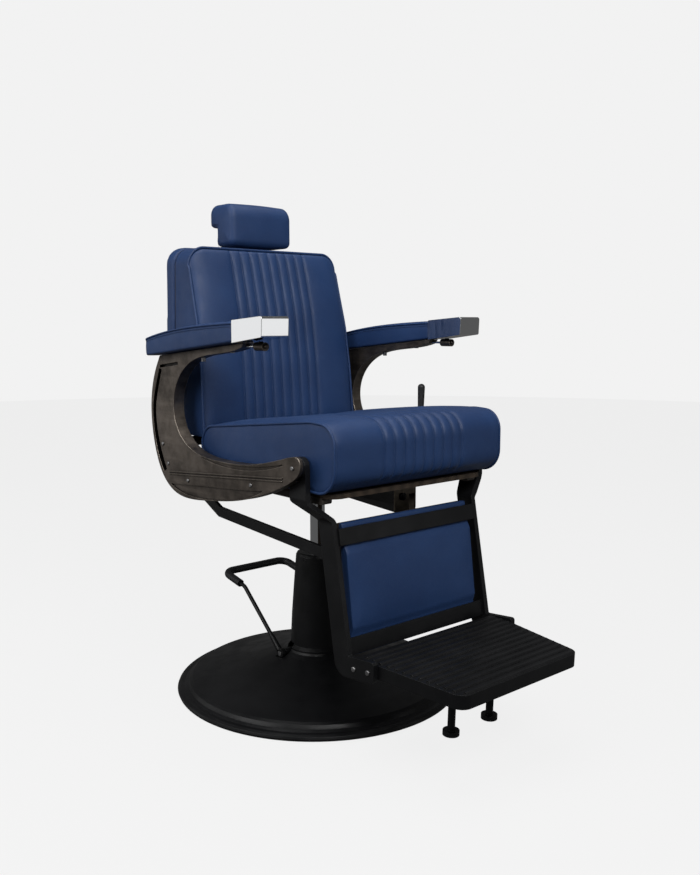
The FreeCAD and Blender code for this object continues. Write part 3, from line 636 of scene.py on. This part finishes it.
def rear_panel(finishes):
    """Rear of the back: the panel's own shape with padded, rounded edges, round the pocket of the track."""
    source = nodes["back_rear_panel"]
    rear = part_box("back_rear_panel")[1].y
    mesh = source.data.copy()
    mesh.transform(source.matrix_world)
    draft = bpy.data.objects.new("rear_draft", mesh)
    scene.collection.objects.link(draft)
    remesh = draft.modifiers.new("even", "REMESH")
    remesh.mode = "VOXEL"
    remesh.voxel_size = 0.0055
    soften = draft.modifiers.new("soften", "SMOOTH")
    soften.factor = 0.5
    soften.iterations = 7
    shaped = draft.evaluated_get(bpy.context.evaluated_depsgraph_get()).to_mesh()
    verts = [tuple(v.co) for v in shaped.vertices]
    faces = [tuple(p.vertices) for p in shaped.polygons]
    bpy.data.objects.remove(draft)
    piece = mesh_piece("back_rear_cover", verts, faces, "backrest", finishes["navy_leather"])
    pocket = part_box("headrest_track")
    held = []
    for i, (x, y, z) in enumerate(verts):
        beside = abs(x) < pocket[1].x + 0.020 and z > pocket[0].z - 0.020
        if y < rear - 0.006 or beside:
            held.append(i)
    swell(piece, held, cap=0.004)
    finer(piece)
    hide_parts("back_rear_panel")


def headrest(finishes):
    """Headrest: a cover wrapped front to back between two sewn-in end panels."""
    lo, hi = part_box("headrest_cushion")
    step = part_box("headrest_plate")[0].y - 0.0004
    shelf = hi.z - 0.062
    corners = [(lo.y, lo.z, 0.018), (lo.y, hi.z, 0.038), (hi.y, hi.z, 0.028), (hi.y, shelf, 0.012)]
    corners += [(step, shelf, 0.003), (step, lo.z, 0.010)]
    count = 120
    line = outline(corners, count, 0.003)
    into = inward(line)
    half = hi.x - 0.001
    round_r = 0.014
    places = [half * math.sin(math.pi / 2 * k / 18) for k in range(-18, 19)]
    rings = []
    for x in places:
        edge = half - abs(x)
        over = max(0.0, round_r - edge)
        end = round_r - math.sqrt(round_r ** 2 - over ** 2)
        ring = []
        for j in range(count):
            belly = 0.0035 * (1 - (x / half) ** 2) * smooth(into[j].real, -0.2, 0.6)
            push = belly - end
            point = line[j] - into[j] * push
            ring.append((x, point.real, point.imag))
        rings.append(ring)
    verts, faces, first = skin(rings, 0.003, (0.96, 0.86, 0.68, 0.45, 0.22))
    piece = mesh_piece("headrest_cover", verts, faces, "headrest", finishes["navy_leather"])
    back_side = [j for j in range(count) if line[j].real > step - 0.004 and line[j].imag < shelf + 0.004]
    pinned = [first + i * count + j for i in range(len(places)) for j in back_side]
    pinned += caps(verts, first, len(places) * count)
    swell(piece, pinned, cap=0.003)
    finer(piece)
    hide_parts("headrest_cushion")


def arm_pad(side, finishes):
    """Arm pad: arched top, straight boxing, a corded seam round the top edge."""
    node_name = side + "_arm_pad"
    lo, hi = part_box(node_name)
    s = SIDES[side]
    inner, outer = (lo.x, hi.x) if s > 0 else (-hi.x, -lo.x)
    middle, half = (inner + outer) / 2, (outer - inner) / 2 - 0.0008
    nose, heel = lo.y, hi.y
    slope = -0.102

    def floor(y):
        return lo.z + slope * (y - heel) + 0.0004

    def crest(y):
        t = (y - nose) / (heel - nose)
        return hi.z - 0.0015 - 0.0165 * t - 0.0245 * t ** 3.2

    count = 64
    steps = 44
    rings, seam = [], []
    for k in range(steps + 1):
        t = k / steps
        y = nose + (heel - nose) * (1 - (1 - t) ** 1.7) if t > 0 else nose
        left = heel - y
        round_r = 0.024
        near_end = max(0.0, round_r - left)
        wide = half - (round_r - math.sqrt(max(0.0, round_r ** 2 - near_end ** 2))) * 0.92
        high = crest(y) - 0.004 * smooth(-left, -0.012, 0.0)
        shape = [(-wide, floor(y), 0.004), (-wide, high, 0.007), (wide, high, 0.007), (wide, floor(y), 0.004)]
        line = outline(shape, count, 0.0008)
        ring = []
        for p in line:
            across = p.real / wide
            over = smooth(p.imag, high - 0.010, high - 0.002)
            crown = 0.0052 * (1 - across ** 2) * over
            under_cord = 0.0018 * math.exp(-abs(p.imag - (high - 0.0075)) / 0.0016) * (1 - over * 0.4)
            belly = 0.0012 * math.sin(math.pi * (p.imag - floor(y)) / (high - floor(y)))
            x = p.real + math.copysign(belly - under_cord, p.real) * (abs(across) > 0.93)
            ring.append((s * (middle + x), y, p.imag + crown))
        rings.append(ring)
        seam.append((wide, y, high))
    verts, faces, _ = skin(rings, 0.0012)
    piece = mesh_piece(node_name + "_cover", verts, faces, "seat", finishes["navy_leather"])
    coords = np.array(verts)
    tops = np.array([crest(min(max(y, nose), heel)) for y in coords[:, 1]])
    pinned = [i for i in range(len(verts)) if coords[i, 2] < tops[i] - 0.010 or coords[i, 1] < nose + 0.003]
    swell(piece, pinned, cap=0.002)
    finer(piece)
    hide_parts(node_name)
    cord_r = 0.0019
    run = [(s * (middle + w - cord_r * 0.5), y, z - cord_r * 0.6) for w, y, z in seam]
    home = [(s * (middle - w + cord_r * 0.5), y, z - cord_r * 0.6) for w, y, z in seam[::-1]]
    tube(node_name + "_piping", run + home, cord_r, False, "seat", finishes["navy_leather"])
    for edge, sign in (("outer", 1), ("inner", -1)):
        path = [(s * (middle + sign * (w + 0.0001)), y, z - 0.0080) for w, y, z in seam[:-6]]
        stitches(f"{node_name}_{edge}_stitches", path, 0.0048, "seat", finishes["thread"])


def calf(finishes):
    """Calf pad: a plain panel that swells between the two straps."""
    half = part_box("calf_pad")[1].x - 0.001
    corners = [(-0.297, 0.480, 0.005), (-0.3128, 0.4822, 0.006), (-0.3212, 0.437, 0.004), (-0.331, 0.420, 0.010)]
    corners += [(-0.350, 0.266, 0.010), (-0.3452, 0.249, 0.003), (-0.3500, 0.207, 0.005), (-0.331, 0.204, 0.004)]
    count = 150
    line = outline(corners, count, 0.0016)
    into = inward(line)
    places = [half * math.sin(math.pi / 2 * k / 24) for k in range(-24, 25)]
    rings = []
    for x in places:
        edge = half - abs(x)
        ring = []
        for j in range(count):
            face = smooth(into[j].real, 0.5, 0.95)
            band = smooth(line[j].imag, 0.252, 0.300) * (1 - smooth(line[j].imag, 0.386, 0.434))
            push = 0.0022 * band * face * (1 - (x / half) ** 4) - 0.0020 * math.exp(-edge / 0.003)
            point = line[j] - into[j] * push
            ring.append((x, point.real, point.imag))
        rings.append(ring)
    verts, faces, first = skin(rings, 0.001)
    piece = mesh_piece("calf_pad_cover", verts, faces, "footrest", finishes["navy_leather"])
    free = [j for j in range(count) if into[j].real > 0.6 and 0.262 < line[j].imag < 0.426]
    held = [j for j in range(count) if j not in free]
    pinned = [first + i * count + j for i in range(len(places)) for j in held]
    pinned += list(range(first)) + list(range(first + len(places) * count, len(verts)))
    swell(piece, pinned, cap=0.004)
    finer(piece)
    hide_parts("calf_pad")


# ---- studio ----
def lamp(name, azimuth, elevation, distance, size, power):
    """Area light that looks at the chair. Azimuth 0 stands at -Y and 90 at +X."""
    a, e = math.radians(azimuth), math.radians(elevation)
    away = Vector((math.sin(a) * math.cos(e), -math.cos(a) * math.cos(e), math.sin(e)))
    data = bpy.data.lights.new(name, "AREA")
    data.shape = "RECTANGLE"
    data.size, data.size_y = size
    data.energy = power
    light = bpy.data.objects.new(name, data)
    light.location = Vector(LAMP_AIM) + away * distance
    light.rotation_mode = "QUATERNION"
    light.rotation_quaternion = away.to_track_quat("Z", "Y")
    scene.collection.objects.link(light)


def studio():
    scene.view_settings.view_transform = "Standard"
    world = bpy.data.worlds.new("studio")
    world.use_nodes = True
    scene.world = world
    tree = world.node_tree
    tree.nodes.clear()
    seen = tree.nodes.new("ShaderNodeBackground")
    seen.inputs["Color"].default_value = (BACKDROP, BACKDROP, BACKDROP, 1)
    around = tree.nodes.new("ShaderNodeBackground")
    around.inputs["Color"].default_value = (1, 1, 1, 1)
    around.inputs["Strength"].default_value = AMBIENT
    path = tree.nodes.new("ShaderNodeLightPath")
    mix = tree.nodes.new("ShaderNodeMixShader")
    out = tree.nodes.new("ShaderNodeOutputWorld")
    tree.links.new(path.outputs["Is Camera Ray"], mix.inputs[0])
    tree.links.new(around.outputs[0], mix.inputs[1])
    tree.links.new(seen.outputs[0], mix.inputs[2])
    tree.links.new(mix.outputs[0], out.inputs[0])

    lamp("key", -96, 30, 3.0, (2.0, 2.4), 44)
    lamp("rim", -139, 6, 3.0, (1.3, 1.7), 5.5)
    lamp("front", -20, 36, 3.4, (2.0, 1.2), 68)
    lamp("right", 31, 4, 3.2, (0.7, 1.8), 3.2)
    lamp("top", 0, 86, 2.8, (2.6, 2.0), 42)

    verts = [(0, 0, 0)]
    for k in range(96):
        angle = 2 * math.pi * k / 96
        verts.append((FLOOR_R * math.cos(angle), FLOOR_R * math.sin(angle), 0))
    mesh = bpy.data.meshes.new("floor")
    mesh.from_pydata([(x, y, z - 0.0004) for x, y, z in verts], [], [(0, k, k % 96 + 1) for k in range(1, 97)])
    floor = bpy.data.objects.new("floor", mesh)
    scene.collection.objects.link(floor)
    pale = shader("pale_floor", Roughness=0.85, Specular_IOR_Level=0.15)
    principled = pale.node_tree.nodes["Principled BSDF"]
    principled.inputs["Emission Color"].default_value = (1, 1, 1, 1)
    principled.inputs["Emission Strength"].default_value = FLOOR_GLOW
    feed(pale, "Base Color", mixed(pale, grain(pale, 3.0), (0.048, 0.048, 0.048, 1), (0.052, 0.052, 0.052, 1)))
    mesh.materials.append(pale)
    floor.visible_glossy = False
    floor.visible_diffuse = False


def camera():
    data = bpy.data.cameras.new("camera")
    data.lens = CAMERA_LENS
    data.sensor_width = 36
    eye = bpy.data.objects.new("camera", data)
    eye.location = CAMERA_AT
    eye.rotation_euler = (math.radians(90 - CAMERA_PITCH), 0, math.radians(CAMERA_AZIMUTH))
    scene.collection.objects.link(eye)
    scene.camera = eye


camera()
studio()
finishes = paint_frame()
finishes["thread"] = thread()
seat(finishes)
back(finishes)
rear_panel(finishes)
headrest(finishes)
for side in SIDES:
    arm_pad(side, finishes)
calf(finishes)
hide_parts("seat_foam")
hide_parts("back_foam")

bpy.context.view_layer.update()
